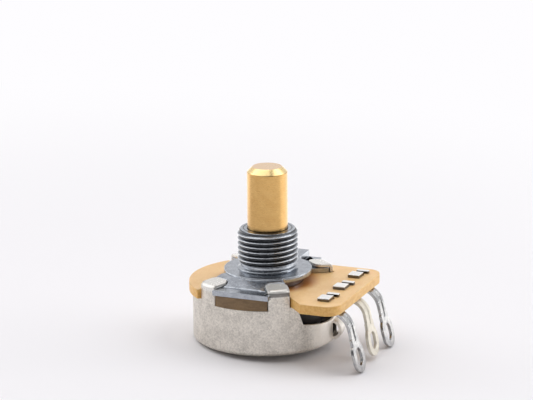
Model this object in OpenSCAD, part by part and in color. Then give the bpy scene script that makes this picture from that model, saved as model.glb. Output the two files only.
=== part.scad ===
// Rotary potentiometer with a solid shaft, a threaded panel bushing and three solder lugs.
// The shaft's axis is Z. The origin is on it, in the mounting face of the round flange.
// +X points to the solder lugs, and the clamping ears of the plate lie along Y.

/* [Shaft] */
// Diameter of the shaft
shaft_d = 6.35; // [6:0.05:6.6]
// Length of the shaft beyond the mounting face
shaft_reach = 16.3; // [12:0.1:25]
// Chamfer at the shaft's free end
shaft_chamfer = 0.88; // [0.4:0.02:1.2]
// Width of the grease groove round the shaft, just inside the bushing's mouth
grease_w = 0.6; // [0.55:0.05:1]
// Depth of the grease groove
grease_t = 0.25; // [0.2:0.05:0.4]
// Diameter of the flatted part that drives the wiper carrier
drive_d = 4.8; // [4.2:0.1:5.2]
// Distance across the two drive flats
drive_flats = 3.8; // [3.2:0.1:4]
// Diameter of the tail that bears on the case's floor
tail_d = 3.4; // [2.4:0.1:3.8]
// Turn of the shaft from stop to stop, in degrees
turn = 300; // [240:5:310]

/* [Bushing and plate] */
// Outside diameter of the bushing, over its thread
bushing_d = 9.525; // [9.1:0.025:11]
// Length of the bushing beyond the mounting face
bushing_length = 6.4; // [5:0.1:9.5]
// Chamfer on the bushing's end
bushing_chamfer = 0.5; // [0.2:0.05:0.8]
// Diameter at the relief groove under the thread
relief_d = 8.5; // [8:0.1:9]
// Width of the relief groove
relief_w = 0.55; // [0.3:0.05:0.9]
// Height of the plain ring between the flange and the groove
relief_z = 0.45; // [0.2:0.05:0.8]
// Diameter of the round flange
flange_d = 13.8; // [12.5:0.1:14.6]
// Thickness of the round flange
flange_t = 0.85; // [0.6:0.05:1]
// Diameter of the boss between the flange and the board
boss_d = 11.4; // [10:0.1:12.4]
// Thickness of the whole plate, from the mounting face to the board
plate_t = 2; // [1.8:0.05:2.6]
// Thickness of the ears
ear_t = 0.84; // [0.6:0.02:1]
// How far the ears' lips stand out of the case's outer wall
ear_lip = 0.1; // [0:0.05:0.3]
// Half width of the ears' lips
ear_half = 4.65; // [4:0.05:5]
// Angle by which an ear's side passes the edge of its tab, seen from the case's centre
ear_margin = 1.5; // [0.5:0.1:3]
// Width of the flat margin between the front ramp's foot and the ear's edge
ramp_margin = 2.15; // [1.4:0.05:2.6]
// Height of the step at the ramp's foot
ramp_step = 0.14; // [0.05:0.01:0.25]
// How far the ramp's upper edge lies under the mounting face
ramp_crown = 0.25; // [0.1:0.05:0.5]
// Width of the raised bridge on the rear ear
bridge_w = 5.2; // [4:0.1:6.4]
// Radius of the hollow corners between the bridge and the flange
bridge_hollow_r = 2.4; // [1:0.1:3]
// How far the bridge's end lies inside the ear's edge
bridge_inset = 0.15; // [0.1:0.05:0.4]

/* [Case] */
// Outside diameter of the case
case_d = 22.7; // [21.8:0.1:23.4]
// Depth of the case under the terminal board
case_depth = 7.8; // [7.2:0.1:10]
// Thickness of the case's sheet
sheet_t = 0.5; // [0.4:0.05:0.6]
// Outer radius of the case's bottom edge
case_edge_r = 0.85; // [0.6:0.05:1.4]
// How far the case's centre lies from the shaft's axis, away from the lugs
case_offset = 0.57; // [0:0.01:0.6]
// Width of a folded tab
tab_w = 3.4; // [3:0.1:4]
// Angle of the front tab on the lugs' side from the line of the ears
tab_near = 33.6; // [32:0.2:35]
// Angle of the other front tab from the line of the ears
tab_far = 29.6; // [28:0.2:32]
// Angle of the two rear tabs from the line of the ears
tab_rear = 42; // [40:0.5:43]
// Length of a tab's part that lies over the plate, from the case's outer wall
tab_l = 3.1; // [2.4:0.05:3.4]
// Radius of a tab's rounded corners
tab_corner_r = 1.1; // [0.8:0.1:1.4]
// Inner radius of a tab's fold
tab_bend_r = 0.25; // [0.15:0.05:0.3]
// How far a tab's tip stands off the plate
tab_rise = 0.25; // [0.1:0.05:0.35]
// Half angle of the window under the lugs
window_angle = 42; // [38:1:43]
// Depth of the window under the terminal board
window_depth = 3.9; // [3.4:0.05:4.2]
// How much narrower the window is at its lower corners, on each side
window_slant = 0.9; // [0.3:0.1:1.4]
// How far the window's lower edge sags in its middle
window_sag = 0.85; // [0.2:0.05:1.2]
// How far the wall is cut down under the board, between two tabs
side_depth = 0.35; // [0.1:0.05:0.6]
// Width of the stop tongue
stop_w = 3.2; // [2:0.1:4]
// Radial clearance between the wiper carrier and the stop tongue's tip
stop_gap = 0.35; // [0.2:0.05:0.5]
// Width of the lanced bow in the wall
bow_w = 3; // [2:0.1:4]
// Outer radius of the lanced bow
bow_r = 1.6; // [1.3:0.05:1.6]
// Height of the bow's middle over the case's bottom
bow_rise = 2.05; // [1.9:0.05:2.6]
// How far the bow's middle lies outside the wall's inner face
bow_out = 0.35; // [0.1:0.05:0.5]
// Distance of the bow's middle from the middle of the lugs
bow_y = 1.9; // [0:0.1:2.4]

/* [Terminal board] */
// How far the board's round edge stands out of the case's wall
board_rim = 0.55; // [0.3:0.05:1.2]
// Thickness of the board
board_t = 1.55; // [1.3:0.05:2]
// Width of the board's straight part
board_w = 21.5; // [19:0.1:22]
// Distance of the board's outer edge from the shaft's axis
board_reach = 15.5; // [15:0.1:17]
// Radius of the board's outer corners
board_corner_r = 2.4; // [1:0.1:4]
// How far the board's edge lies inside the case's inner wall in the side windows
board_inset = 0.1; // [0.05:0.05:0.3]
// Diameter of the hole in the board
board_hole_d = 8.8; // [8.4:0.1:9.2]
// Distance of the resistive track's outer edge from the case's nearest wall
track_room = 1.38; // [1.1:0.02:1.8]
// Width of the resistive track
track_w = 1.5; // [1:0.1:1.8]
// Thickness of the printed track and of its end pads
track_t = 0.05; // [0.03:0.01:0.08]

/* [Solder lugs] */
// Distance between two lugs
lug_pitch = 6.65; // [6:0.05:7]
// Thickness of the lug's sheet
lug_t = 0.5; // [0.4:0.05:0.6]
// Width of a lug's stem
lug_w = 2.3; // [1.8:0.1:2.6]
// Distance from the board's outer edge to where the outer lugs start to bend
lug_setback = 2.3; // [1.9:0.1:2.6]
// Distance of an outer lug's inner end from the case's nearest wall
lug_room = 0.78; // [0.7:0.02:1]
// Distance from the board's outer edge to the middle of the prongs
prong_setback = 3.05; // [2.8:0.05:3.3]
// Width of a lug's folded prong
prong_w = 1.9; // [1.4:0.1:2]
// Width of the small hook beside a prong
hook_w = 0.8; // [0.5:0.1:1]
// Height of the folded prong over the board
prong_t = 0.55; // [0.4:0.05:0.7]
// Length of the folded prong
prong_l = 1.9; // [1.4:0.1:2.2]
// Radius of the outer lugs' bend, at the middle of the sheet
lug_bend_r = 3.3; // [2:0.1:4]
// Angle of the outer lugs' bend
lug_bend = 75; // [45:1:90]
// Length of the outer lugs beyond the bend
lug_drop = 7.1; // [6:0.1:9]
// Width of a lug's eyelet
eyelet_w = 4.1; // [3.6:0.1:4.6]
// Length of a lug's eyelet
eyelet_l = 4.9; // [4.5:0.1:5.5]
// Width of the eyelet's hole
eye_w = 2; // [1.4:0.1:2.4]
// Length of the eyelet's hole
eye_l = 2.8; // [2.4:0.1:3.2]
// Width of the groove along a lug
groove_w = 0.7; // [0.4:0.1:1]
// Depth of the groove along a lug
groove_t = 0.14; // [0.08:0.02:0.2]

/* [Inside] */
// Distance of the wiper carrier's rim from the case's nearest wall
carrier_room = 1.28; // [1.2:0.02:1.8]
// Distance of the carrier's lug from the case's nearest wall
carrier_lug_room = 0.33; // [0.25:0.02:0.5]
// Thickness of the carrier's lug
carrier_lug_t = 1.5; // [1.1:0.1:1.8]
// Thickness of the wiper carrier
carrier_t = 2.6; // [2.2:0.1:2.8]
// Distance of the carrier's upper face from the board
carrier_gap = 2; // [1.8:0.05:2.2]
// How far the carrier's hub stands over its upper face
hub_rise = 0.6; // [0.3:0.05:0.8]
// Radius of the carrier's hub
hub_r = 3.9; // [3.2:0.1:4]
// Distance between the collector ring and the resistive track
collector_room = 1; // [0.6:0.1:1.2]
// Width of the collector ring
collector_w = 1.5; // [1.2:0.1:1.6]
// Thickness of the contact spring's sheet
spring_t = 0.2; // [0.15:0.05:0.3]
// Width of a finger of the contact spring
finger_w = 1.2; // [0.8:0.1:1.6]
// Thickness of the retaining ring
ring_t = 0.7; // [0.5:0.05:0.9]
// Outside diameter of the retaining ring
ring_d = 8.1; // [7.4:0.1:8.2]
// Depth of the groove that holds the retaining ring
ring_groove_t = 0.6; // [0.4:0.05:0.8]

/* [Clearances] */
// Radial clearance of the shaft in the bushing
running_fit = 0.03; // [0.02:0.01:0.06]
// Radial clearance of the carrier on the drive flats
seat_fit = 0.02; // [0.01:0.01:0.05]
// Clearance round each tab in the board
tab_gap = 0.15; // [0.1:0.05:0.3]
// Clearance round each prong in the board
prong_gap = 0.04; // [0.02:0.01:0.08]
// Clearance between the wiper and the track
wiper_gap = 0.03; // [0.02:0.01:0.05]
// End play of the shaft
end_play = 0.05; // [0.03:0.01:0.1]
// Angle left between the carrier's lug and the stop at each end, in degrees
stop_play = 0.4; // [0.2:0.1:1]

/* [Hidden] */
$fn = 96;
eps = 0.01;
// How far a cutting shape stands out of what it cuts
cut = 1;

// Heights, counted along the shaft from the mounting face
board_top = -plate_t;
board_bottom = board_top - board_t;
ear_top = board_top + ear_t;
case_bottom = board_bottom - case_depth;
case_floor = case_bottom + sheet_t;
window_z = board_bottom - window_depth;
carrier_top = board_bottom - carrier_gap;
carrier_bottom = carrier_top - carrier_t;
shoulder_z = carrier_top + hub_rise;
ring_top = board_top - end_play;

// Radii round the shaft's axis
shaft_r = shaft_d / 2;
ring_groove_r = shaft_r - ring_groove_t;
flange_r = flange_d / 2;

// Radii round the case's centre
case_r = case_d / 2;
case_in = case_r - sheet_t;
board_r = case_r + board_rim;
board_tongue_r = case_in - board_inset;
tab_fold_r = sheet_t + tab_bend_r;
tab_tip = case_r - tab_l;
ear_reach = case_r + ear_lip;
ear_r = case_r - tab_fold_r;

// Angles at which the four tabs stand, counted from +X round the case's centre
tab_angles = [90 - tab_rear, 90 + tab_rear, 270 - tab_far, 270 + tab_near];
// Angle that half a tab takes in the wall
tab_span = asin(tab_w / 2 / case_r);

// The room inside the case, from the shaft's axis to the wall on the lugs' side
room_r = case_in - case_offset;
carrier_r = room_r - carrier_room;
carrier_lug_r = room_r - carrier_lug_room;
stop_tip = carrier_r + stop_gap;
track_out = room_r - track_room;
track_in = track_out - track_w;
track_mid = (track_in + track_out) / 2;
collector_out = track_in - collector_room;
collector_in = collector_out - collector_w;
collector_mid = (collector_in + collector_out) / 2;

// Angle that half the stop tongue takes at its tip, and half the carrier's lug
stop_half = asin(stop_w / 2 / stop_tip);
lug_half = 180 - turn / 2 - stop_half - stop_play;

// Angle from the lugs' side at which the resistive track begins
track_end = 184 - turn / 2;

// Places of the lugs: rows along Y, bends, inner ends and prongs along X
lug_rows = [-lug_pitch, 0, lug_pitch];
lug_bend_x = board_reach - lug_setback;
lug_in = room_r - lug_room;
prong_x = board_reach - prong_setback;
prong_y = 0.55;
hook_x = -0.3;
hook_y = 1.6;
window_half = case_r * sin(window_angle);

// A flat sector from one angle to another, wider than any part here
module wedge(from, to) {
    steps = 6;
    turns = [for (i = [0:steps]) from + (to - from) * i / steps];
    polygon(concat([[0, 0]], [for (a = turns) case_d * [cos(a), sin(a)]]));
}

module at_case() {
    translate([-case_offset, 0, 0])
        children();
}

// Half section of the closed cup with its rim folded in all round, drawn inside the sheet by inset.
// The folded rim rises a little towards the middle.
module cup_section(inset) {
    r = case_r - inset;
    low = case_bottom + inset;
    edge = case_edge_r - inset;
    fold = tab_fold_r - inset;
    fold_x = r - fold;
    fold_z = ear_top - tab_bend_r;
    slope = atan2(tab_rise, tab_l - tab_fold_r);
    intersection() {
        union() {
            translate([0, low + edge])
                square([r, fold_z - low - edge]);
            translate([0, low])
                square([r - edge, edge + eps]);
            translate([r - edge, low + edge])
                circle(edge, $fn = 48);
            polygon([[0, fold_z - eps], [fold_x + fold * sin(slope), fold_z - eps],
                     [fold_x + fold * sin(slope), fold_z + fold * cos(slope)],
                     [0, fold_z + fold / cos(slope) + fold_x * tan(slope)]]);
            translate([fold_x, fold_z])
                circle(fold, $fn = 48);
        }
        translate([0, low])
            square([r, case_depth + board_t + 2 * plate_t]);
    }
}

// A tab seen from above, from its rounded tip out past the wall, wider all round by grow
module tab_outline(grow = 0) {
    tip_r = tab_corner_r + grow;
    half = tab_w / 2 + grow;
    tip = tab_tip - grow;
    translate([tip + tip_r, -half])
        square([case_r, 2 * half]);
    translate([tip, -half + tip_r])
        square([tip_r + eps, 2 * (half - tip_r)]);
    for (side = [-1, 1])
        translate([tip + tip_r, side * (half - tip_r)])
            circle(tip_r, $fn = 48);
}

// The window's outline, with its middle at the origin's height, as seen from the lugs
module window_outline() {
    low_half = window_half - window_slant;
    steps = 12;
    polygon(concat([[window_half, board_bottom + cut], [-window_half, board_bottom + cut],
                    [-window_half, board_bottom]],
                   [for (i = [-steps:steps]) let (share = i / steps)
                       [share * low_half, window_z + window_sag * share * share]],
                   [[window_half, board_bottom]]));
}

module window_cut() {
    rotate([90, 0, 90])
        translate([0, 0, case_r / 2])
            linear_extrude(case_r)
                window_outline();
}

// The wall lanced on two sides and pushed out to a short bow
module bow(outer) {
    bow_z = case_bottom + bow_rise;
    intersection() {
        rotate_extrude()
            translate([case_in + bow_out, bow_z])
                circle(outer, $fn = 64);
        translate([0, bow_y - bow_w / 2, case_bottom])
            cube([case_r + bow_r, bow_w, case_depth]);
    }
}

// The wall between two tabs, under the board's edge
module side_cut(from, to) {
    translate([0, 0, board_bottom - side_depth])
        linear_extrude(side_depth + eps)
            difference() {
                wedge(from, to);
                for (a = [from, to])
                    rotate(a)
                        tab_outline();
            }
}

// Drawn cup whose rim is cut away down to the board everywhere but at the four folded tabs
module case_cup() {
    color("#b9b4aa")
        at_case() {
            difference() {
                union() {
                    rotate_extrude()
                        cup_section(0);
                    bow(bow_r);
                }
                rotate_extrude()
                    cup_section(sheet_t);
                translate([0, 0, board_bottom])
                    linear_extrude(2 * plate_t + board_t)
                        difference() {
                            circle(case_r + cut);
                            for (a = tab_angles)
                                rotate(a)
                                    tab_outline();
                        }
                window_cut();
                side_cut(tab_angles[0], tab_angles[1]);
                side_cut(tab_angles[2], tab_angles[3]);
                bow(bow_r - sheet_t);
            }
        }
    color("#b9b4aa")
        stop_tongue();
}

// The part of the window's sheet that is bent in to stop the carrier
module stop_tongue() {
    intersection() {
        translate([stop_tip, -stop_w / 2, window_z - sheet_t])
            cube([case_r, stop_w, sheet_t]);
        at_case()
            translate([0, 0, window_z - 2 * sheet_t])
                cylinder(h = 3 * sheet_t, r = case_in + sheet_t / 2);
    }
}

// Outline of an ear that points to +Y, seen from above and centred on the case, between two tabs
module ear_outline(near, far) {
    neck_x = flange_r / 1.5;
    neck_y = neck_x - 0.2;
    near_side = near + tab_span + ear_margin;
    far_side = far + tab_span + ear_margin;
    near_way = [sin(near_side), cos(near_side)];
    far_way = [-sin(far_side), cos(far_side)];
    intersection() {
        circle(ear_r);
        polygon([[-neck_x, 0], [neck_x, 0], [neck_x, neck_y], ear_r * near_way, case_d * near_way,
                 case_d * far_way, ear_r * far_way, [-neck_x, neck_y]]);
    }
}

// The ear's straight lip, which passes between the two tabs and spreads in front of them
module lip_outline(near, far) {
    near_x = case_in * sin(near) - tab_w / 2 * cos(near) - 2 * tab_gap;
    far_x = case_in * sin(far) - tab_w / 2 * cos(far) - 2 * tab_gap;
    intersection() {
        translate([case_offset - ear_half, 0])
            square([2 * ear_half, ear_reach]);
        union() {
            translate([-far_x, 0])
                square([near_x + far_x, ear_reach]);
            difference() {
                circle(case_d);
                circle(case_r + tab_gap);
            }
        }
    }
}

module ears_outline() {
    ear_outline(tab_rear, tab_rear);
    lip_outline(tab_rear, tab_rear);
    mirror([0, 1]) {
        ear_outline(tab_near, tab_far);
        lip_outline(tab_near, tab_far);
    }
}

// The front ear's flank: a shallow cone from the flange down to the ear, planed off to a flat ramp in
// its middle, with a seat cut for each tab
module front_flank() {
    foot_r = ear_r - 0.4;
    crown = -0.1;
    crown_r = flange_r + 0.05;
    intersection() {
        at_case()
            translate([0, 0, ear_top - eps])
                cylinder(h = crown - ear_top + eps, r1 = foot_r, r2 = crown_r);
        translate([-case_r, 0, 0])
            rotate([90, 0, 90])
                linear_extrude(case_d)
                    polygon([[0, ear_top - eps], [ramp_margin - ear_reach, ear_top - eps],
                             [ramp_margin - ear_reach, ear_top + ramp_step],
                             [-flange_r, -ramp_crown], [0, -ramp_crown]]);
        at_case()
            translate([0, 0, board_top])
                linear_extrude(plate_t)
                    difference() {
                        ears_outline();
                        for (a = tab_angles)
                            rotate(a)
                                tab_outline(tab_gap);
                    }
    }
}

// The rear ear's bridge, level with the mounting face. Its hollow corners dip a little into the
// flange's rim, where they meet it.
module rear_bridge() {
    half = bridge_w / 2;
    hollow_x = half + bridge_hollow_r;
    meet = 0.05;
    hollow_y = sqrt(pow(flange_r + bridge_hollow_r - meet, 2) - pow(hollow_x, 2));
    end_y = ear_reach - bridge_inset;
    translate([0, 0, board_top])
        linear_extrude(plate_t)
            difference() {
                polygon([[0, 0], [hollow_x, hollow_y], [half, hollow_y], [half, end_y],
                         [-half, end_y], [-half, hollow_y], [-hollow_x, hollow_y]]);
                for (side = [-1, 1])
                    translate([side * hollow_x, hollow_y])
                        circle(bridge_hollow_r, $fn = 96);
            }
}

module barrel_profile() {
    r = bushing_d / 2;
    in_slope = 0.1;
    out_slope = 0.2;
    polygon([[0, -eps], [r, -eps], [r, relief_z], [relief_d / 2, relief_z + in_slope],
             [relief_d / 2, relief_z + relief_w], [r, relief_z + relief_w + out_slope],
             [r, bushing_length - bushing_chamfer], [r - bushing_chamfer, bushing_length],
             [0, bushing_length]]);
}

module bushing_plate() {
    color("#8e969c")
        difference() {
            union() {
                rotate_extrude()
                    barrel_profile();
                translate([0, 0, -flange_t])
                    cylinder(h = flange_t, r = flange_r);
                translate([0, 0, board_top])
                    cylinder(h = plate_t, r = boss_d / 2);
                at_case()
                    translate([0, 0, board_top])
                        linear_extrude(ear_t)
                            ears_outline();
                front_flank();
                rear_bridge();
            }
            translate([0, 0, board_top - cut])
                cylinder(h = plate_t + bushing_length + 2 * cut, r = shaft_r + running_fit);
        }
}

// The board's edge is set back past the front tabs, and between the rear ones up to the closed slot
module side_recess() {
    clear = tab_span + 1.2;
    web = tab_span + 4;
    for (ends = [[270 - tab_far - clear, 270 + tab_near + clear],
                 [90 - tab_rear + web, 90 + tab_rear]])
        difference() {
            wedge(ends[0], ends[1]);
            circle(board_tongue_r);
        }
}

module board_outline() {
    c = board_corner_r;
    difference() {
        union() {
            at_case()
                circle(board_r);
            translate([0, -board_w / 2])
                square([board_reach - c, board_w]);
            translate([0, -board_w / 2 + c])
                square([board_reach, board_w - 2 * c]);
            for (side = [-1, 1])
                translate([board_reach - c, side * (board_w / 2 - c)])
                    circle(c, $fn = 64);
        }
        at_case()
            side_recess();
    }
}

// Slots for the tabs. The rear one on the far side is open to the board's edge.
module tab_slots() {
    at_case()
        for (a = tab_angles)
            rotate(a)
                translate([case_in - 2 * tab_gap, -tab_w / 2 - tab_gap])
                    square([sheet_t + 3 * tab_gap + (cos(a) < 0 ? board_rim + cut : 0), tab_w + 2 * tab_gap]);
}

// Hole for a prong, with the board's clearance round it
module prong_slot(x, y, w, d) {
    translate([x - w / 2 - prong_gap, y - d / 2 - prong_gap])
        square([w + 2 * prong_gap, d + 2 * prong_gap]);
}

module terminal_board() {
    color("#e2b478")
        translate([0, 0, board_bottom])
            linear_extrude(board_t)
                difference() {
                    board_outline();
                    circle(board_hole_d / 2);
                    tab_slots();
                    for (y = lug_rows) {
                        prong_slot(prong_x, y + prong_y, prong_w, lug_t);
                        prong_slot(prong_x + hook_x, y + hook_y, lug_t, hook_w);
                    }
                }
}

module track_ring(from, to, inner, outer) {
    intersection() {
        difference() {
            circle(outer);
            circle(inner);
        }
        wedge(from, to);
    }
}

module resistive_track() {
    color("#2b2724")
        translate([0, 0, board_bottom - track_t])
            linear_extrude(track_t)
                for (half = [0, 1])
                    mirror([0, half])
                        intersection() {
                            track_ring(track_end, 180, track_in, track_out);
                            translate([-case_r, 0])
                                square([case_d, case_r]);
                        }
}

module track_end_pads() {
    pad_low = lug_pitch - lug_w / 2 - 1.2;
    color("#c9ccd0")
        translate([0, 0, board_bottom - track_t])
            linear_extrude(track_t)
                for (half = [0, 1])
                    mirror([0, half])
                        difference() {
                            union() {
                                track_ring(track_end - 9, track_end, track_in - 0.2, track_out + 0.2);
                                intersection() {
                                    track_ring(track_end - 9, track_end + 16, track_out - 0.2, track_out + 2.2);
                                    translate([0, pad_low])
                                        square([lug_in + 0.6, window_half - 0.3 - pad_low]);
                                }
                            }
                            translate([lug_in, lug_pitch - lug_w / 2])
                                square([4, lug_w]);
                            track_ring(track_end, 90, track_in - 0.5, track_out);
                        }
}

// The lug's own plane: x runs from the bend to the tip, y across the stem
module lug_blade(drop) {
    eye_x = drop - eyelet_l / 2;
    shoulder_l = 1.1;
    shoulder_w = lug_w + 0.44;
    union() {
        translate([-eps, -lug_w / 2])
            square([eye_x + eps, lug_w]);
        translate([drop - eyelet_l - shoulder_l / 2, -shoulder_w / 2])
            square([shoulder_l, shoulder_w]);
        stadium(eye_x, eyelet_l, eyelet_w);
    }
}

module stadium(x, l, w) {
    translate([x, 0]) {
        square([l - w, w], center = true);
        for (side = [-1, 1])
            translate([side * (l - w) / 2, 0])
                circle(w / 2, $fn = 64);
    }
}

// A solder lug: flat under the board, bent down, with an eyelet at its end
module lug(bend_x, bend_r, bend, drop, inner_x) {
    mid_z = board_bottom - lug_t / 2;
    groove_x = prong_x + 1.1;
    groove_end = drop - eyelet_l - 0.1;
    difference() {
        translate([inner_x, -lug_w / 2, board_bottom - lug_t])
            cube([bend_x - inner_x + eps, lug_w, lug_t]);
        translate([groove_x, -groove_w / 2, board_bottom - groove_t])
            cube([bend_x, groove_w, cut]);
    }
    translate([bend_x, 0, mid_z - bend_r])
        rotate([90, 0, 0])
            difference() {
                linear_extrude(lug_w, center = true)
                    bend_band(bend_r, lug_t, bend);
                linear_extrude(groove_w, center = true)
                    difference() {
                        circle(bend_r + lug_t);
                        circle(bend_r + lug_t / 2 - groove_t);
                    }
            }
    translate([bend_x + bend_r * sin(bend), 0, mid_z - bend_r + bend_r * cos(bend)])
        rotate([0, bend, 0])
            translate([0, 0, -lug_t / 2])
                difference() {
                    linear_extrude(lug_t)
                        difference() {
                            lug_blade(drop);
                            stadium(drop - eyelet_l / 2, eye_l, eye_w);
                        }
                    translate([-cut, -groove_w / 2, lug_t - groove_t])
                        cube([groove_end + cut, groove_w, cut]);
                }
}

module bend_band(r, t, a) {
    intersection() {
        difference() {
            circle(r + t / 2);
            circle(r - t / 2);
        }
        wedge(90 - a, 90);
    }
}

// Prongs of the lug that pass the board and are folded over on top: a wide one and a small hook
module crimp() {
    fold_y = prong_y + lug_t / 2 - prong_t;
    hook_l = 1.7;
    translate([prong_x, 0, 0]) {
        translate([-prong_w / 2, prong_y - lug_t / 2, board_bottom - eps])
            cube([prong_w, lug_t, board_t + eps]);
        translate([-prong_w / 2, fold_y, board_top])
            intersection() {
                rotate([0, 90, 0])
                    cylinder(h = prong_w, r = prong_t, $fn = 48);
                cube([prong_w, prong_t, prong_t]);
            }
        translate([-prong_w / 2, fold_y - prong_l, board_top])
            cube([prong_w, prong_l, prong_t]);
        translate([hook_x - lug_t / 2, 0, board_bottom - lug_t])
            cube([lug_t, hook_y + hook_w / 2, lug_t]);
        translate([hook_x - lug_t / 2, hook_y - hook_w / 2, board_bottom - eps])
            cube([lug_t, hook_w, board_t + lug_t + eps]);
        translate([hook_x, hook_y - hook_w / 2, board_top])
            cube([hook_l, hook_w, lug_t]);
    }
}

module outer_lug(side) {
    color("#c4c6c8")
        translate([0, side * lug_pitch, 0]) {
            lug(lug_bend_x, lug_bend_r, lug_bend, lug_drop, lug_in);
            crimp();
        }
}

module solder_lug_left() {
    outer_lug(-1);
}

module solder_lug_right() {
    outer_lug(1);
}

// The middle lug, in one piece with the collector ring under the board
module solder_lug_middle() {
    later = 0.8;
    tighter = 0.7;
    steeper = 3;
    shorter = 0.3;
    color("#e6e0d2") {
        lug(lug_bend_x + later, lug_bend_r - tighter, lug_bend + steeper, lug_drop - shorter, collector_mid);
        crimp();
        translate([0, 0, board_bottom - lug_t])
            linear_extrude(lug_t)
                difference() {
                    circle(collector_out);
                    circle(collector_in);
                }
    }
}

module shaft() {
    tail_r = tail_d / 2;
    tail_edge = 0.5;
    color("#d8a75c")
        union() {
            rotate_extrude()
                polygon([[0, shaft_reach], [shaft_r - shaft_chamfer, shaft_reach],
                         [shaft_r, shaft_reach - shaft_chamfer], [shaft_r, bushing_length],
                         [shaft_r - grease_t, bushing_length],
                         [shaft_r - grease_t, bushing_length - grease_w],
                         [shaft_r, bushing_length - grease_w], [shaft_r, ring_top],
                         [ring_groove_r, ring_top], [ring_groove_r, ring_top - ring_t],
                         [shaft_r, ring_top - ring_t], [shaft_r, shoulder_z], [0, shoulder_z]]);
            intersection() {
                translate([0, 0, carrier_bottom])
                    cylinder(h = shoulder_z - carrier_bottom + eps, r = drive_d / 2);
                translate([-drive_d, -drive_flats / 2, carrier_bottom - cut])
                    cube([2 * drive_d, drive_flats, shoulder_z - carrier_bottom + 2 * cut]);
            }
            rotate_extrude()
                polygon([[0, carrier_bottom + eps], [tail_r, carrier_bottom + eps],
                         [tail_r, case_floor + end_play + tail_edge],
                         [tail_r - tail_edge, case_floor + end_play], [0, case_floor + end_play]]);
        }
}

// Open ring pressed into the shaft's groove, which keeps the shaft from being pulled out
module retaining_ring() {
    mouth = 1.6 * ring_groove_r;
    color("#7d8084")
        translate([0, 0, ring_top - ring_t])
            linear_extrude(ring_t)
                difference() {
                    circle(ring_d / 2);
                    circle(ring_groove_r);
                    translate([-mouth / 2, 0])
                        square([mouth, ring_d]);
                }
}

module wiper_carrier() {
    color("#5a3a26")
        difference() {
            union() {
                translate([0, 0, carrier_bottom])
                    cylinder(h = carrier_t, r = carrier_r);
                translate([0, 0, carrier_bottom])
                    cylinder(h = shoulder_z - carrier_bottom, r = hub_r);
                translate([0, 0, carrier_bottom])
                    linear_extrude(carrier_lug_t)
                        track_ring(180 - lug_half, 180 + lug_half, hub_r, carrier_lug_r);
            }
            translate([0, 0, carrier_bottom - cut])
                linear_extrude(carrier_t + hub_rise + 2 * cut)
                    intersection() {
                        circle(drive_d / 2 + seat_fit);
                        square([2 * drive_d, drive_flats + 2 * seat_fit], center = true);
                    }
        }
}

// One sprung finger, from its root on the carrier to its rounded contact
module finger(root_x, tip_x, tip_z) {
    low = carrier_top + spring_t;
    nose_x = tip_x + (tip_x < root_x ? -0.45 : 0.45);
    nose_z = tip_z - 0.3;
    rotate([90, 0, 0])
        linear_extrude(finger_w, center = true)
            union() {
                polygon([[root_x, low - spring_t], [root_x, low], [tip_x, tip_z], [tip_x, tip_z - spring_t]]);
                polygon([[tip_x, tip_z], [tip_x, tip_z - spring_t], [nose_x, nose_z - spring_t],
                         [nose_x, nose_z]]);
            }
}

module contact_spring() {
    plate_x = hub_r + 0.2;
    plate_l = carrier_r - 0.1 - plate_x;
    split = 0.25;
    color("#caa36a") {
        translate([-plate_x - plate_l, -finger_w - split, carrier_top])
            cube([plate_l, 2 * (finger_w + split), spring_t]);
        translate([0, -(finger_w + split) / 2, 0])
            finger(-plate_x - 0.3, -track_mid, board_bottom - track_t - wiper_gap);
        translate([0, (finger_w + split) / 2, 0])
            finger(-plate_x - plate_l + 0.3, -collector_mid, board_bottom - lug_t - wiper_gap);
    }
}

case_cup();
bushing_plate();
terminal_board();
resistive_track();
track_end_pads();
solder_lug_left();
solder_lug_middle();
solder_lug_right();
shaft();
retaining_ring();
wiper_carrier();
contact_spring();
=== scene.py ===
import math

import bmesh
import bpy
from mathutils import Matrix, Vector


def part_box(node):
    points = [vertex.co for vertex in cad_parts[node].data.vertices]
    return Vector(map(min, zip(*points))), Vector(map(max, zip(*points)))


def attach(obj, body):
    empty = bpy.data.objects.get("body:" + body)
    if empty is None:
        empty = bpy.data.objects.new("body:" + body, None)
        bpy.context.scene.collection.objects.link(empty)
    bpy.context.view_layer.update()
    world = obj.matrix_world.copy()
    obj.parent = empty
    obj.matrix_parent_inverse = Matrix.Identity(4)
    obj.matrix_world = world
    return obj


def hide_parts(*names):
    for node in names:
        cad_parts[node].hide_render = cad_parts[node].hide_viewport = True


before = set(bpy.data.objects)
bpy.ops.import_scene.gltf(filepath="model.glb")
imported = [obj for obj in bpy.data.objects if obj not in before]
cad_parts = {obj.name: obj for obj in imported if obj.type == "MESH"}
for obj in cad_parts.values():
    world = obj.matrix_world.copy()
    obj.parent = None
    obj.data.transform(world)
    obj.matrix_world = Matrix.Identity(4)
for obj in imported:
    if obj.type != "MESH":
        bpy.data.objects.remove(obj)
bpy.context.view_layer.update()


# Camera
# The photograph was taken with a long lens from a little above the bushing, seen across the front ear.
# These angles and the focal length come from a fit of the shaft, the flange and the case's rim.
MM = 0.001
IMAGE_WIDTH_PX = 533
FOCAL_PX = 2552
SENSOR_MM = 36
VIEW_AZIMUTH = math.radians(22.35)
VIEW_ELEVATION = math.radians(15.07)
VIEW_ROLL = -0.0086
VIEW_DISTANCE = 400.4 * MM
VIEW_TARGET = Vector((0, 0, 3 * MM))
VIEW_RIGHT = -0.203 * MM
VIEW_UP = 7.561 * MM
NEAREST_SEEN = 10 * MM

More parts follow.
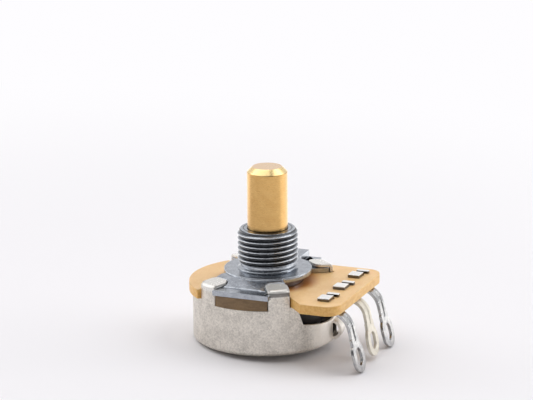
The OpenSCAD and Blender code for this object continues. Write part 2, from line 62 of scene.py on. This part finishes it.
forward = Vector((-math.sin(VIEW_AZIMUTH) * math.cos(VIEW_ELEVATION),
                  math.cos(VIEW_AZIMUTH) * math.cos(VIEW_ELEVATION),
                  -math.sin(VIEW_ELEVATION)))
level_right = Vector((math.cos(VIEW_AZIMUTH), math.sin(VIEW_AZIMUTH), 0))
right = Matrix.Rotation(-VIEW_ROLL, 3, forward) @ level_right
up = right.cross(forward)

camera_data = bpy.data.cameras.new("camera")
camera_data.sensor_width = SENSOR_MM
camera_data.lens = FOCAL_PX / IMAGE_WIDTH_PX * SENSOR_MM
camera_data.clip_start = NEAREST_SEEN
camera = bpy.data.objects.new("camera", camera_data)
bpy.context.scene.collection.objects.link(camera)
bpy.context.scene.camera = camera
eye = VIEW_TARGET - forward * VIEW_DISTANCE + right * VIEW_RIGHT + up * VIEW_UP
camera_turn = Matrix((right, up, -forward)).transposed().to_4x4()
camera.matrix_world = Matrix.Translation(eye) @ camera_turn


# Table
# A white table on which the part rests as it does by itself, tilted on the rear of its case and on
# its outer lugs. The metal mirrors it brighter than it is, mostly from the far side of the part.
TABLE_SIZE = 6
REST_INSET = 0.7 * MM
TOE_INSET = 0.3 * MM
TABLE_WHITE = (240, 238, 240)
FAR_WHITE = (0.99, 0.98, 1.0, 1)
MIRRORED_WHITE = (1, 0.99, 0.98, 1)
MIRRORED_STRENGTH = 1.85
FRONT_SHARE = 0.5
# The mirrored half runs from a little in front of the camera's right hand to a little behind its left
MIRRORED_TURN = math.radians(-16)
MIRRORED_DEPTH = (0.0, 0.02)
# Distances from the case's heel, in metres, between which a glow sets in
FAR_GLOW = (0.045, 0.16)
MIRRORED_GLOW = (0.03, 0.07)
FRONT_GLOW = (0.06, 0.15)

case_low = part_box("case_cup")[0]
lug_low, lug_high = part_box("solder_lug_left")
heel = Vector((case_low.x + REST_INSET, 0, case_low.z))
toe = Vector((lug_high.x - TOE_INSET, 0, lug_low.z))
table_tilt = math.atan2(heel.z - toe.z, toe.x - heel.x)
away = Vector((forward.x, forward.y, 0)).normalized()
mirrored_side = Matrix.Rotation(MIRRORED_TURN, 3, "Z") @ away


class Signal:
    """A socket that takes part in sums with other sockets and with numbers."""

    def __init__(self, finish, socket):
        self.finish = finish
        self.socket = socket

    def maths(self, operation, first, second):
        node = self.finish.node("ShaderNodeMath", {"operation": operation}, {0: first, 1: second})
        return Signal(self.finish, node.outputs[0])

    def __add__(self, other):
        return self.maths("ADD", self, other)

    def __radd__(self, other):
        return self.maths("ADD", other, self)

    def __sub__(self, other):
        return self.maths("SUBTRACT", self, other)

    def __rsub__(self, other):
        return self.maths("SUBTRACT", other, self)

    def __mul__(self, other):
        return self.maths("MULTIPLY", self, other)

    def __rmul__(self, other):
        return self.maths("MULTIPLY", other, self)

    def __lt__(self, other):
        return self.maths("LESS_THAN", self, other)

    def __gt__(self, other):
        return self.maths("GREATER_THAN", self, other)

    def root(self):
        return self.maths("POWER", self, 0.5)

    def fade(self, low, high):
        """0 below low, 1 above high and a smooth rise between them."""
        node = self.finish.node("ShaderNodeMapRange", {"interpolation_type": "SMOOTHSTEP"},
                                {"Value": self, "From Min": low, "From Max": high})
        return Signal(self.finish, node.outputs[0])

    def spread(self):
        """The middle of a noise's range, stretched to run from 0 to 1."""
        return self.fade(0.3, 0.7)


class Finish:
    """One material, or the world's light, written as sums of sockets."""

    def __init__(self, name, tree_owner=None):
        if tree_owner is None:
            tree_owner = bpy.data.materials.new(name)
        tree_owner.use_nodes = True
        self.material = tree_owner
        self.tree = tree_owner.node_tree
        self.tree.nodes.clear()
        self.coordinates = None

    def node(self, kind, settings=None, sockets=None):
        """Adds a node with its settings, and then the values or links of its sockets."""
        made = self.tree.nodes.new(kind)
        for key, value in (settings or {}).items():
            setattr(made, key, value)
        for key, value in (sockets or {}).items():
            if isinstance(value, Signal):
                self.tree.links.new(value.socket, made.inputs[key])
            else:
                made.inputs[key].default_value = value
        return made

    def out(self, node, output=0):
        return Signal(self, node.outputs[output])

    def position(self, stretch=(1, 1, 1)):
        """The point on the object, in millimetres where it isn't stretched."""
        if self.coordinates is None:
            self.coordinates = self.node("ShaderNodeTexCoord")
        node = self.node("ShaderNodeMapping", None,
                         {"Vector": self.out(self.coordinates, "Object"),
                          "Scale": [s / MM for s in stretch]})
        return self.out(node)

    def axes(self):
        node = self.node("ShaderNodeSeparateXYZ", None, {0: self.position()})
        return [self.out(node, i) for i in range(3)]

    def noise(self, scale, detail, stretch=(1, 1, 1), roughness=0.5):
        """Cloudy noise round 0.5 whose cells are 1/scale of a millimetre."""
        node = self.node("ShaderNodeTexNoise", None,
                         {"Vector": self.position(stretch), "Scale": scale,
                          "Detail": detail, "Roughness": roughness})
        return self.out(node)

    def blend(self, factor, first, second):
        node = self.node("ShaderNodeMix", {"data_type": "RGBA"},
                         {0: factor, 6: colour(first), 7: colour(second)})
        return self.out(node, 2)

    def bump(self, height, distance, strength):
        node = self.node("ShaderNodeBump", None,
                         {"Strength": strength, "Distance": distance * MM, "Height": height})
        return self.out(node)

    def surface(self, **sockets):
        """Ends the finish with its shader. A word's underscores stand for spaces."""
        named = {key.replace("_", " "): value for key, value in sockets.items()}
        shader = self.node("ShaderNodeBsdfPrincipled", None, named)
        self.node("ShaderNodeOutputMaterial", None, {"Surface": self.out(shader)})
        return self.material


def colour(value):
    """A colour as seen, in 0 to 255, as the light it reflects. Links pass through."""
    if isinstance(value, Signal):
        return value
    return (*[linear(c / 255) for c in value], 1)


def linear(c):
    return c / 12.92 if c <= 0.04045 else ((c + 0.055) / 1.055) ** 2.4


def table_finish():
    f = Finish("table_white")
    spot = f.out(f.node("ShaderNodeNewGeometry"), "Position")
    from_heel = f.node("ShaderNodeVectorMath", {"operation": "DISTANCE"}, {0: spot, 1: tuple(heel)})
    distance = f.out(from_heel, "Value")
    across = f.node("ShaderNodeVectorMath", {"operation": "DOT_PRODUCT"},
                    {0: spot, 1: tuple(mirrored_side)})
    behind = f.out(across, "Value").fade(*MIRRORED_DEPTH)
    rays = f.node("ShaderNodeLightPath")
    card = f.node("ShaderNodeBsdfDiffuse", None, {"Color": colour(TABLE_WHITE)})
    glow = f.node("ShaderNodeEmission", None, {"Color": FAR_WHITE, "Strength": 1.0})
    bright = f.node("ShaderNodeEmission", None, {"Color": MIRRORED_WHITE, "Strength": MIRRORED_STRENGTH})
    far = f.out(rays, "Is Camera Ray") * distance.fade(*FAR_GLOW)
    seen = f.node("ShaderNodeMixShader", None, {0: far, 1: f.out(card), 2: f.out(glow)})
    beside = behind * distance.fade(*MIRRORED_GLOW)
    before = (1 - behind) * distance.fade(*FRONT_GLOW) * FRONT_SHARE
    lit = f.out(rays, "Is Glossy Ray") * (beside + before)
    mirrored = f.node("ShaderNodeMixShader", None, {0: lit, 1: f.out(seen), 2: f.out(bright)})
    f.node("ShaderNodeOutputMaterial", None, {"Surface": f.out(mirrored)})
    return f.material


def as_object(name, shape):
    """Puts a finished bmesh into the scene as an object."""
    mesh = bpy.data.meshes.new(name)
    shape.to_mesh(mesh)
    shape.free()
    made = bpy.data.objects.new(name, mesh)
    bpy.context.scene.collection.objects.link(made)
    return made


def coat(made, material):
    made.data.materials.clear()
    made.data.materials.append(material)


sheet = bmesh.new()
bmesh.ops.create_grid(sheet, x_segments=1, y_segments=1, size=TABLE_SIZE / 2)
table = as_object("table", sheet)
coat(table, table_finish())
table.matrix_world = Matrix.Translation(heel) @ Matrix.Rotation(table_tilt, 4, "Y")


# Room and lamps
# The room is white behind the part and dimmer in front of it. One soft box hangs overhead, a little to
# the camera's left, two stand at its right, one high and one low, and a weak one stands at its left.
ROOM_FRONT = (124, 124, 126)
ROOM_BACK = (240, 240, 242)
ROOM_FADE = (-0.15, 0.35)


def world_light():
    world = bpy.data.worlds.new("room")
    bpy.context.scene.world = world
    f = Finish("room", world)
    rays = f.node("ShaderNodeLightPath")
    seen = f.out(rays, "Is Camera Ray") + f.out(rays, "Is Transmission Ray")
    way = f.out(f.node("ShaderNodeTexCoord"), "Generated")
    depth = f.node("ShaderNodeVectorMath", {"operation": "DOT_PRODUCT"}, {0: way, 1: tuple(away)})
    tone = f.blend(f.out(depth, "Value").fade(*ROOM_FADE), ROOM_FRONT, ROOM_BACK)
    walls = f.node("ShaderNodeBackground", None, {"Color": tone, "Strength": 1.0})
    white = f.node("ShaderNodeBackground", None, {"Color": (1, 1, 1, 1), "Strength": 1.0})
    mixed = f.node("ShaderNodeMixShader", None, {0: seen, 1: f.out(walls), 2: f.out(white)})
    f.node("ShaderNodeOutputWorld", None, {"Surface": f.out(mixed)})


def soft_box(name, direction, distance, size, power):
    """A lamp that looks at the part. Direction is azimuth from +Y towards +X, and elevation."""
    azimuth, elevation = (math.radians(a) for a in direction)
    way = Vector((math.sin(azimuth) * math.cos(elevation), math.cos(azimuth) * math.cos(elevation),
                  math.sin(elevation)))
    light = bpy.data.lights.new(name, "AREA")
    light.shape = "RECTANGLE"
    light.size, light.size_y = size
    light.energy = power
    made = bpy.data.objects.new(name, light)
    bpy.context.scene.collection.objects.link(made)
    made.location = way * distance
    made.rotation_euler = way.to_track_quat("Z", "Y").to_euler()
    made.visible_camera = False


world_light()
soft_box("overhead_box", direction=(247, 69), distance=0.5, size=(0.5, 0.62), power=1.24)
soft_box("right_box", direction=(66, 46), distance=0.5, size=(0.42, 0.4), power=0.85)
soft_box("low_right_box", direction=(58, 8), distance=0.4, size=(0.12, 0.1), power=0.18)
soft_box("left_box", direction=(262, 20), distance=0.5, size=(0.3, 0.3), power=0.35)


# Case cup
# Drawn from one sheet of tinned steel, half a millimetre thick, with the tabs folded over by a press.
# The tin is matt and mottled, and carries painted light: a painted highlight on its +X side, lighter
# tab tops, a painted dark reflection under one fold and painted shade inside the cup.
CASE_OFFSET = 0.57
CASE_RIM_Z = -3.9
# The cup's inner side lies inside this radius and above a skin at its foot, which is the outer side
INSIDE_R = 10.95
FOOT_SKIN = 0.2
WALL_CUTS = 90
WALL_SAG = 0.06
CUT_REACH = 2e-6
MERGE_REACH = 1e-7
FLAT_ANGLE = math.radians(0.5)
SHARP_ANGLE = math.radians(35)
EDGE_SEGMENTS = 2
CASE_WEAR = 0.07
# Heights and, for the last, places along X between which one tone gives way to the next
PRESSED_AND_LIT_Z = (-1.85, -1.4)
DARK_BAND_Z = (-1.85, -1.6)
DARK_BAND_END_Z = (-1.2, -1.07)
# From here along +X the wall is painted brighter as a painted highlight
HIGHLIGHT_X = (9.0, 10.2)
DULL_TIN = (188, 182, 173)
PALE_TIN = (240, 234, 224)
HIGHLIGHT_TIN = (255, 250, 242)
# The tabs' tops are painted lighter as painted light
PRESSED_LIT_TIN = (232, 230, 225)
# A painted dark reflection under the front right tab's fold
DARK_BAND_TIN = (84, 82, 78)
# Painted shade for the cup's inner wall
INNER_SHADE_TIN = (70, 66, 60)


def merged_copy(node, mend=None):
    """The solid's mesh with its loose triangles joined and its flat faces made whole."""
    shape = bmesh.new()
    shape.from_mesh(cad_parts[node].data)
    bmesh.ops.remove_doubles(shape, verts=shape.verts, dist=MERGE_REACH)
    if mend:
        mend(shape)
    bmesh.ops.dissolve_limit(shape, angle_limit=FLAT_ANGLE, verts=shape.verts, edges=shape.edges)
    weights = shape.edges.layers.float.new("bevel_weight_edge")
    for edge in shape.edges:
        if len(edge.link_faces) == 2 and edge.calc_face_angle(0) > SHARP_ANGLE:
            edge[weights] = 1
    return shape


def rounded_piece(shape, node, width):
    """Makes the shape the piece that stands for a node, with its sharp edges slightly rounded."""
    made = as_object(node + "_skin", shape)
    for polygon in made.data.polygons:
        polygon.use_smooth = True
    bevel = made.modifiers.new("worn_edges", "BEVEL")
    bevel.width = width * MM
    bevel.segments = EDGE_SEGMENTS
    bevel.limit_method = "WEIGHT"
    bevel.use_clamp_overlap = False
    shading = made.modifiers.new("even_shading", "WEIGHTED_NORMAL")
    shading.mode = "FACE_AREA"
    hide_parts(node)
    return made


def dress(made, body, material):
    coat(made, material)
    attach(made, body)


def near_wall(vert, wall_r):
    return abs(math.hypot(vert.co.x + CASE_OFFSET * MM, vert.co.y) - wall_r) < WALL_SAG * MM


def round_wall(shape):
    """Cuts the wall's long triangles into narrow columns and puts all their corners on the true radius."""
    centre = Vector((-CASE_OFFSET * MM, 0, 0))
    wall_r = -case_low.x - CASE_OFFSET * MM
    for step in range(WALL_CUTS):
        turn = math.pi * step / WALL_CUTS
        wall = [face for face in shape.faces if all(near_wall(v, wall_r) for v in face.verts)]
        parts = set(wall)
        for face in wall:
            parts.update(face.edges)
            parts.update(face.verts)
        bmesh.ops.bisect_plane(shape, geom=list(parts), dist=CUT_REACH, plane_co=centre,
                               plane_no=(math.cos(turn), math.sin(turn), 0))
    for vert in shape.verts:
        if near_wall(vert, wall_r):
            scale = wall_r / math.hypot(vert.co.x - centre.x, vert.co.y)
            vert.co.x = centre.x + (vert.co.x - centre.x) * scale
            vert.co.y *= scale


def from_axis(x, y):
    return (x * x + y * y).root()


def tin_finish():
    f = Finish("matt_tin")
    x, y, z = f.axes()
    clouds = f.noise(scale=0.55, detail=4, roughness=0.6)
    grain = f.noise(scale=3.2, detail=3, roughness=0.75)
    fine = f.noise(scale=11, detail=2)
    mottle = (clouds - 0.5) * 0.8 + (grain - 0.5) * 1.3 + (fine - 0.5) * 0.6 + 0.5
    wall = f.blend(mottle.fade(0.1, 0.9), DULL_TIN, PALE_TIN)
    # Painted highlight: the wall's +X side is painted brighter and made a little smoother
    painted_highlight = x.fade(*HIGHLIGHT_X)
    wall = f.blend(painted_highlight * 0.8, wall, HIGHLIGHT_TIN)
    # The tabs' tops get a smoother, less metallic finish from the press and are also painted lighter as
    # painted light
    pressed_and_lit = (z + clouds * 0.4).fade(*PRESSED_AND_LIT_Z)
    tone = f.blend(pressed_and_lit * 0.8, wall, PRESSED_LIT_TIN)
    # A band just under the front right tab's fold is painted dark as a painted dark reflection
    front_right = (x > 0) * (y < 0)
    painted_dark_band = z.fade(*DARK_BAND_Z) * (1 - z.fade(*DARK_BAND_END_Z)) * front_right
    tone = f.blend(painted_dark_band * 0.8, tone, DARK_BAND_TIN)
    # The cup's inner wall below the sill is painted dark as painted shade
    inside = from_axis(x + CASE_OFFSET, y) < INSIDE_R
    painted_inner_shade = inside * (z < CASE_RIM_Z) * (z > case_low.z / MM + FOOT_SKIN)
    tone = f.blend(painted_inner_shade, tone, INNER_SHADE_TIN)
    rough = 0.40 + (grain - 0.5) * 0.25 + (clouds - 0.5) * 0.1
    return f.surface(Base_Color=tone, Metallic=0.75 - pressed_and_lit * 0.3,
                     Roughness=rough - pressed_and_lit * 0.16 - painted_highlight * 0.04,
                     Normal=f.bump(grain * 0.6 + fine * 0.4, distance=0.012, strength=0.5))


case_skin = rounded_piece(merged_copy("case_cup", round_wall), "case_cup", CASE_WEAR)
dress(case_skin, "case", tin_finish())


# Bushing plate
# One zinc casting, plated bluish. Its barrel carries a 3/8 inch thread with 32 turns to the inch, cut
# above a plain ring and a relief groove. Its valleys are painted dark as painted shade and its crests
# are painted light as painted highlights.
PITCH = 25.4 / 32
THREAD_DEPTH = 0.6 * PITCH
CREST_R = 9.525 / 2
ROOT_R = CREST_R - THREAD_DEPTH
CREST_FLAT = 0.12
ROOT_FLAT = 0.16
RING_STEP = 0.04
TURN_STEPS = 180
BARREL_TOP = 6.4
BARREL_CHAMFER = 0.5
RIM_R = CREST_R - BARREL_CHAMFER
RELIEF_R = 4.25
# The bore lies inside this radius and is left alone
KEPT_R = 4.2
FACE_MARGIN = 0.005
ON_RADIUS = 1e-6
PLATE_WEAR = 0.09
# Heights over the flange's face, each with the radius that nothing on the barrel passes there
BARREL_LIMITS = [(0, 4.86), (0.08, CREST_R), (0.38, CREST_R), (0.46, 4.7), (0.56, 4.3), (0.95, RELIEF_R),
                 (1.2, CREST_R), (5.88, CREST_R), (6.3, 4.36), (BARREL_TOP, RIM_R)]
TOP_SKIN = 0.06
# Heights and radii between which tones change: from the groove to the thread, out of a valley, onto
# a crest, and into and out of the dark lip round the bore
THREAD_Z = (0.95, 1.1)
VALLEY_END_R = (ROOT_R + 0.12, CREST_R - 0.02)
CREST_START_R = (CREST_R - 0.08, CREST_R)
LIP_START_R = (3.66, 3.74)
LIP_END_R = (3.86, 3.94)
DULL_ZINC = (142, 147, 154)
PALE_ZINC = (188, 192, 198)
# Painted shade in the thread's valleys
VALLEY_SHADE_ZINC = (84, 86, 89)
# Painted highlight on the thread's crests
CREST_HIGHLIGHT_ZINC = (208, 210, 214)
LIP_ZINC = (58, 60, 62)


def barrel_limit(height):
    for (low, low_r), (high, high_r) in zip(BARREL_LIMITS, BARREL_LIMITS[1:]):
        if height <= high:
            return low_r + (high_r - low_r) * (height - low) / (high - low)
    return RIM_R


def thread_radius(height, angle):
    """A right-handed thread of about 60 degrees with a flat crest and a flat root."""
    phase = (height / PITCH - angle / math.tau) % 1
    rise = (1 - abs(2 * phase - 1) - ROOT_FLAT) / (1 - CREST_FLAT - ROOT_FLAT)
    rise = min(max(rise, 0), 1)
    return min(ROOT_R + (CREST_R - ROOT_R) * rise, barrel_limit(height))


def on_barrel(face):
    middle = face.calc_center_median() / MM
    return math.hypot(middle.x, middle.y) > KEPT_R and FACE_MARGIN < middle.z < BARREL_TOP - FACE_MARGIN


def on_crest(vert):
    return abs(math.hypot(vert.co.x, vert.co.y) - CREST_R * MM) < ON_RADIUS and vert.co.z > 0


def threaded_plate():
    """The plate with its plain barrel taken off and a threaded one sewn to the two open rims."""
    shape = merged_copy("bushing_plate")
    weights = shape.edges.layers.float["bevel_weight_edge"]
    bmesh.ops.delete(shape, geom=[face for face in shape.faces if on_barrel(face)], context="FACES")
    rims = [edge for edge in shape.edges if edge.is_boundary]
    for edge in rims:
        edge[weights] = 0
    count = round(BARREL_TOP / RING_STEP)
    heights = [(i + 0.5) * BARREL_TOP / count * MM for i in range(count)]
    line = [shape.verts.new((CREST_R * MM, 0, height)) for height in heights]
    rungs = [shape.edges.new(pair) for pair in zip(line, line[1:])]
    bmesh.ops.spin(shape, geom=line + rungs, cent=(0, 0, 0), axis=(0, 0, 1), dvec=(0, 0, 0),
                   angle=math.tau, steps=TURN_STEPS, use_merge=True, use_duplicate=False)
    known = set(rims)
    ends = [edge for edge in shape.edges if edge.is_boundary and edge not in known]
    skin = set()
    for face in shape.faces:
        if all(on_crest(vert) for vert in face.verts):
            skin.update(face.verts)
    for vert in skin:
        radius = thread_radius(vert.co.z / MM, math.atan2(vert.co.y, vert.co.x)) * MM
        scale = radius / math.hypot(vert.co.x, vert.co.y)
        vert.co.x *= scale
        vert.co.y *= scale
    halfway = BARREL_TOP * MM / 2
    for upper in (False, True):
        pair = [edge for edge in rims + ends if (edge.verts[0].co.z > halfway) == upper]
        bmesh.ops.bridge_loops(shape, edges=pair)
    bmesh.ops.recalc_face_normals(shape, faces=shape.faces)
    return shape


def zinc_finish():
    f = Finish("plated_zinc")
    x, y, z = f.axes()
    radius = from_axis(x, y)
    clouds = f.noise(scale=0.8, detail=3)
    grain = f.noise(scale=4.2, detail=3, roughness=0.75)
    fine = f.noise(scale=13, detail=2)
    cast = f.blend((clouds * 0.5 + grain * 0.8 - 0.15).fade(0.2, 0.8), DULL_ZINC, PALE_ZINC)
    threaded = z.fade(*THREAD_Z) * (z < BARREL_TOP - TOP_SKIN)
    # The thread's valleys are painted dark as painted shade
    valley_shade = 1 - (radius + (grain - 0.5) * 0.12).fade(*VALLEY_END_R)
    tone = f.blend(threaded * valley_shade, cast, VALLEY_SHADE_ZINC)
    # The thread's crests are painted lighter as painted highlights
    tone = f.blend(threaded * radius.fade(*CREST_START_R) * 0.7, tone, CREST_HIGHLIGHT_ZINC)
    lip = radius.fade(*LIP_START_R) * (1 - radius.fade(*LIP_END_R)) * (z > BARREL_TOP - TOP_SKIN)
    tone = f.blend(lip * 0.75, tone, LIP_ZINC)
    return f.surface(Base_Color=tone, Metallic=1.0, Roughness=0.24 + (grain - 0.5) * 0.2,
                     Normal=f.bump(grain * 0.6 + fine * 0.4, distance=0.008, strength=0.4))


plate_skin = rounded_piece(threaded_plate(), "bushing_plate", PLATE_WEAR)
dress(plate_skin, "case", zinc_finish())


# Terminal board
# Punched from a sheet of paper laminate: smooth and slightly glossy on its faces, and waxy yellow at
# its cut edges, which let some light through. Round the flange its face is painted brown as painted
# shade from under the flange.
SLOT_R = (10.63, 10.8)
SLOT_SKIN = 0.06
EDGE_Z = (-0.12, -0.06)
FLANGE_SHADE_R = (6.9, 9.4)
BOARD_WEAR = 0.08
BOARD_GLOSS = 0.42
BOARD_TAN = (232, 188, 128)
BOARD_PALE = (242, 202, 146)
BOARD_SHADE = (176, 108, 34)
EDGE_TAN = (228, 176, 94)
EDGE_PALE = (242, 196, 120)
SLOT_BROWN = (96, 74, 48)

board_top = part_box("terminal_board")[1].z / MM


def laminate_finish():
    f = Finish("paper_laminate")
    x, y, z = f.axes()
    under_top = z - board_top
    from_shaft = from_axis(x, y)
    from_case = from_axis(x + CASE_OFFSET, y)
    clouds = f.noise(scale=0.35, detail=3)
    fibre = f.noise(scale=3, detail=3, stretch=(1, 0.35, 1))
    plain = f.blend((clouds * 0.6 + fibre * 0.4).spread(), BOARD_TAN, BOARD_PALE)
    # Round the flange the face is painted brown as painted shade from under the flange
    painted_flange_shade = f.blend(1 - (from_shaft + clouds * 0.8).fade(*FLANGE_SHADE_R), plain, BOARD_SHADE)
    edge = f.blend(fibre.spread(), EDGE_TAN, EDGE_PALE)
    tone = f.blend(under_top.fade(*EDGE_Z), edge, painted_flange_shade)
    slot_start, slot_end = SLOT_R
    slot = (from_case > slot_start) * (from_case < slot_end) * (under_top < -SLOT_SKIN)
    tone = f.blend(slot, tone, SLOT_BROWN)
    return f.surface(Base_Color=tone, Roughness=BOARD_GLOSS, Subsurface_Weight=0.12,
                     Subsurface_Radius=(0.001, 0.0006, 0.0003), Subsurface_Scale=1.0,
                     Normal=f.bump(fibre, distance=0.006, strength=0.2))


board_skin = rounded_piece(merged_copy("terminal_board"), "terminal_board", BOARD_WEAR)
dress(board_skin, "case", laminate_finish())


# Side strips
# Between two tabs the board's rough brown edge swells out to the wall and down to the sill. It is the
# same laminate, darker, with streaks that run along its layers.
STRIP_INNER_R = 10.6
STRIP_OUTER_R = 11.3
STRIP_TOP = -2.06
STRIP_BOTTOM = -3.9
STRIP_STEPS = 24
STRIP_DARK = (112, 88, 58)
STRIP_PALE = (142, 114, 78)
# Where each strip starts and ends, in degrees round the case's centre from +X
STRIP_ENDS = {"front_strip": (249.8, 294.2), "rear_strip": (58.0, 122.0)}


def strip(name, start, end):
    shape = bmesh.new()
    turn = math.radians(start)
    corners = [(STRIP_INNER_R, STRIP_BOTTOM), (STRIP_OUTER_R, STRIP_BOTTOM),
               (STRIP_OUTER_R, STRIP_TOP), (STRIP_INNER_R, STRIP_TOP)]
    verts = []
    for radius, height in corners:
        corner = (radius * math.cos(turn) * MM, radius * math.sin(turn) * MM, height * MM)
        verts.append(shape.verts.new(corner))
    sides = [shape.edges.new(pair) for pair in zip(verts, verts[1:] + verts[:1])]
    bmesh.ops.spin(shape, geom=verts + sides, cent=(0, 0, 0), axis=(0, 0, 1), dvec=(0, 0, 0),
                   angle=math.radians(end - start), steps=STRIP_STEPS,
                   use_merge=False, use_duplicate=False)
    bmesh.ops.holes_fill(shape, edges=shape.edges, sides=len(corners))
    bmesh.ops.translate(shape, verts=shape.verts, vec=(-CASE_OFFSET * MM, 0, 0))
    bmesh.ops.recalc_face_normals(shape, faces=shape.faces)
    return as_object(name, shape)


def strip_finish():
    f = Finish("brown_edge")
    streaks = f.noise(scale=1.2, detail=4, stretch=(0.5, 0.5, 2), roughness=0.7)
    grain = f.noise(scale=9, detail=3)
    tone = f.blend((streaks * 0.7 + grain * 0.3).spread(), STRIP_DARK, STRIP_PALE)
    return f.surface(Base_Color=tone, Roughness=0.5 + (grain - 0.5) * 0.3,
                     Normal=f.bump(streaks, distance=0.03, strength=0.5))


brown_edge = strip_finish()
for strip_name, (strip_start, strip_end) in STRIP_ENDS.items():
    dress(strip(strip_name, strip_start, strip_end), "case", brown_edge)


# Track and its end pads
# Carbon ink and silver ink, screened on the underside of the board and baked. The case hides them, so
# they keep their solids and get a fine even grain.
CARBON = ((30, 28, 27), (52, 48, 46))
SILVER = ((176, 178, 182), (214, 216, 220))


def grainy_finish(name, tones, metal, rough):
    f = Finish(name)
    grain = f.noise(scale=12, detail=3)
    tone = f.blend(grain.spread(), *tones)
    return f.surface(Base_Color=tone, Metallic=metal, Roughness=rough + (grain - 0.5) * 0.2)


coat(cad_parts["resistive_track"], grainy_finish("carbon_ink", CARBON, metal=0.0, rough=0.5))
coat(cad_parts["track_end_pads"], grainy_finish("silver_ink", SILVER, metal=1.0, rough=0.45))


# Solder lugs
# Stamped from tinned strip, with a rounded groove that stiffens the stem, and crimped through the board.
# The outer two are bright, and the middle one, which is also the collector, is paler and duller.
LUG_WEAR = 0.07
CRIMP_SKIN = 0.12
BRIGHT_LUG = ((158, 158, 160), (200, 199, 197))
PALE_LUG = ((214, 207, 192), (238, 232, 218))
# Painted shade on the crimps' sides and a painted highlight on their tops
CRIMP_SIDE_SHADE = (112, 108, 104)
CRIMP_TOP_HIGHLIGHT = (250, 249, 246)

crimp_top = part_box("solder_lug_left")[1].z / MM


def lug_finish(name, tones, metal, rough):
    f = Finish(name)
    clouds = f.noise(scale=1.2, detail=3)
    grain = f.noise(scale=8, detail=3)
    tone = f.blend((clouds * 0.7 + grain * 0.3).spread(), *tones)
    z = f.axes()[2]
    # Above the board the crimp's sides are painted dark as painted shade and its top white as a painted
    # highlight
    tone = f.blend(z > board_top, tone, CRIMP_SIDE_SHADE)
    tone = f.blend(z > crimp_top - CRIMP_SKIN, tone, CRIMP_TOP_HIGHLIGHT)
    return f.surface(Base_Color=tone, Metallic=metal, Roughness=rough + (grain - 0.5) * 0.12,
                     Normal=f.bump(grain, distance=0.003, strength=0.25))


bright_lug = lug_finish("bright_tin", BRIGHT_LUG, metal=1.0, rough=0.24)
pale_lug = lug_finish("pale_tin", PALE_LUG, metal=0.4, rough=0.45)
for lug_name, tinned in (("solder_lug_left", bright_lug), ("solder_lug_right", bright_lug),
                         ("solder_lug_middle", pale_lug)):
    lug_skin = rounded_piece(merged_copy(lug_name), lug_name, LUG_WEAR)
    dress(lug_skin, "case", tinned)


# Shaft
# Turned from brass rod: fine rings from the tool round its side, a crisp chamfer and a faced end. A
# ring of dark grease sits where it leaves the bushing's mouth.
SHAFT_R = 3.175
SHAFT_WEAR = 0.05
CHAMFER_DEPTH = 0.06
CHAMFER_CLEAR = 1
END_SKIN = 0.03
GREASE_RING = (-0.05, 0.24)
BRASS_DARK = (189, 149, 92)
BRASS_PALE = (205, 167, 108)
# The chamfer and the faced end are painted lighter as painted highlights
BRASS_CHAMFER_HIGHLIGHT = (240, 212, 152)
BRASS_END_HIGHLIGHT = (240, 208, 170)
GREASE = (58, 32, 8)


def brass_finish():
    f = Finish("turned_brass")
    x, y, z = f.axes()
    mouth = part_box("bushing_plate")[1].z / MM
    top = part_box("shaft")[1].z / MM
    radius = from_axis(x, y)
    rings = f.noise(scale=9, detail=3, stretch=(0.03, 0.03, 1), roughness=0.7)
    clouds = f.noise(scale=0.9, detail=3)
    tone = f.blend(clouds.fade(0.2, 0.8) * 0.6 + rings * 0.4, BRASS_DARK, BRASS_PALE)
    # Painted highlights on the chamfer and on the faced end
    chamfer = (radius < SHAFT_R - CHAMFER_DEPTH) * (z > mouth + CHAMFER_CLEAR)
    tone = f.blend(chamfer, tone, BRASS_CHAMFER_HIGHLIGHT)
    tone = f.blend(z > top - END_SKIN, tone, BRASS_END_HIGHLIGHT)
    tone = f.blend((z - mouth).fade(*GREASE_RING), GREASE, tone)
    return f.surface(Base_Color=tone, Metallic=1.0, Roughness=0.28 + (rings - 0.5) * 0.16,
                     Normal=f.bump(rings, distance=0.004, strength=0.5))


shaft_skin = rounded_piece(merged_copy("shaft"), "shaft", SHAFT_WEAR)
dress(shaft_skin, "rotor", brass_finish())


# Retaining ring, wiper carrier and contact spring
# They sit inside the case: an open ring of spring steel that holds the shaft, a moulded disc on the
# shaft's flats, and a sprung sheet of bronze that the disc carries round the track.
SPRING_STEEL = ((96, 98, 102), (130, 132, 138))
# The moulded disc is brown, painted almost black as painted shade from the case round it
SHADED_BROWN_MOULDING = ((18, 11, 8), (30, 17, 12))
SPRING_BRONZE = ((196, 152, 92), (222, 180, 118))

coat(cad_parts["retaining_ring"], grainy_finish("spring_steel", SPRING_STEEL, metal=1.0, rough=0.35))
coat(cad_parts["wiper_carrier"], grainy_finish("shaded_brown_moulding", SHADED_BROWN_MOULDING, metal=0.0, rough=0.5))
coat(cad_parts["contact_spring"], grainy_finish("spring_bronze", SPRING_BRONZE, metal=1.0, rough=0.3))


bpy.context.scene.view_settings.view_transform = "Standard"
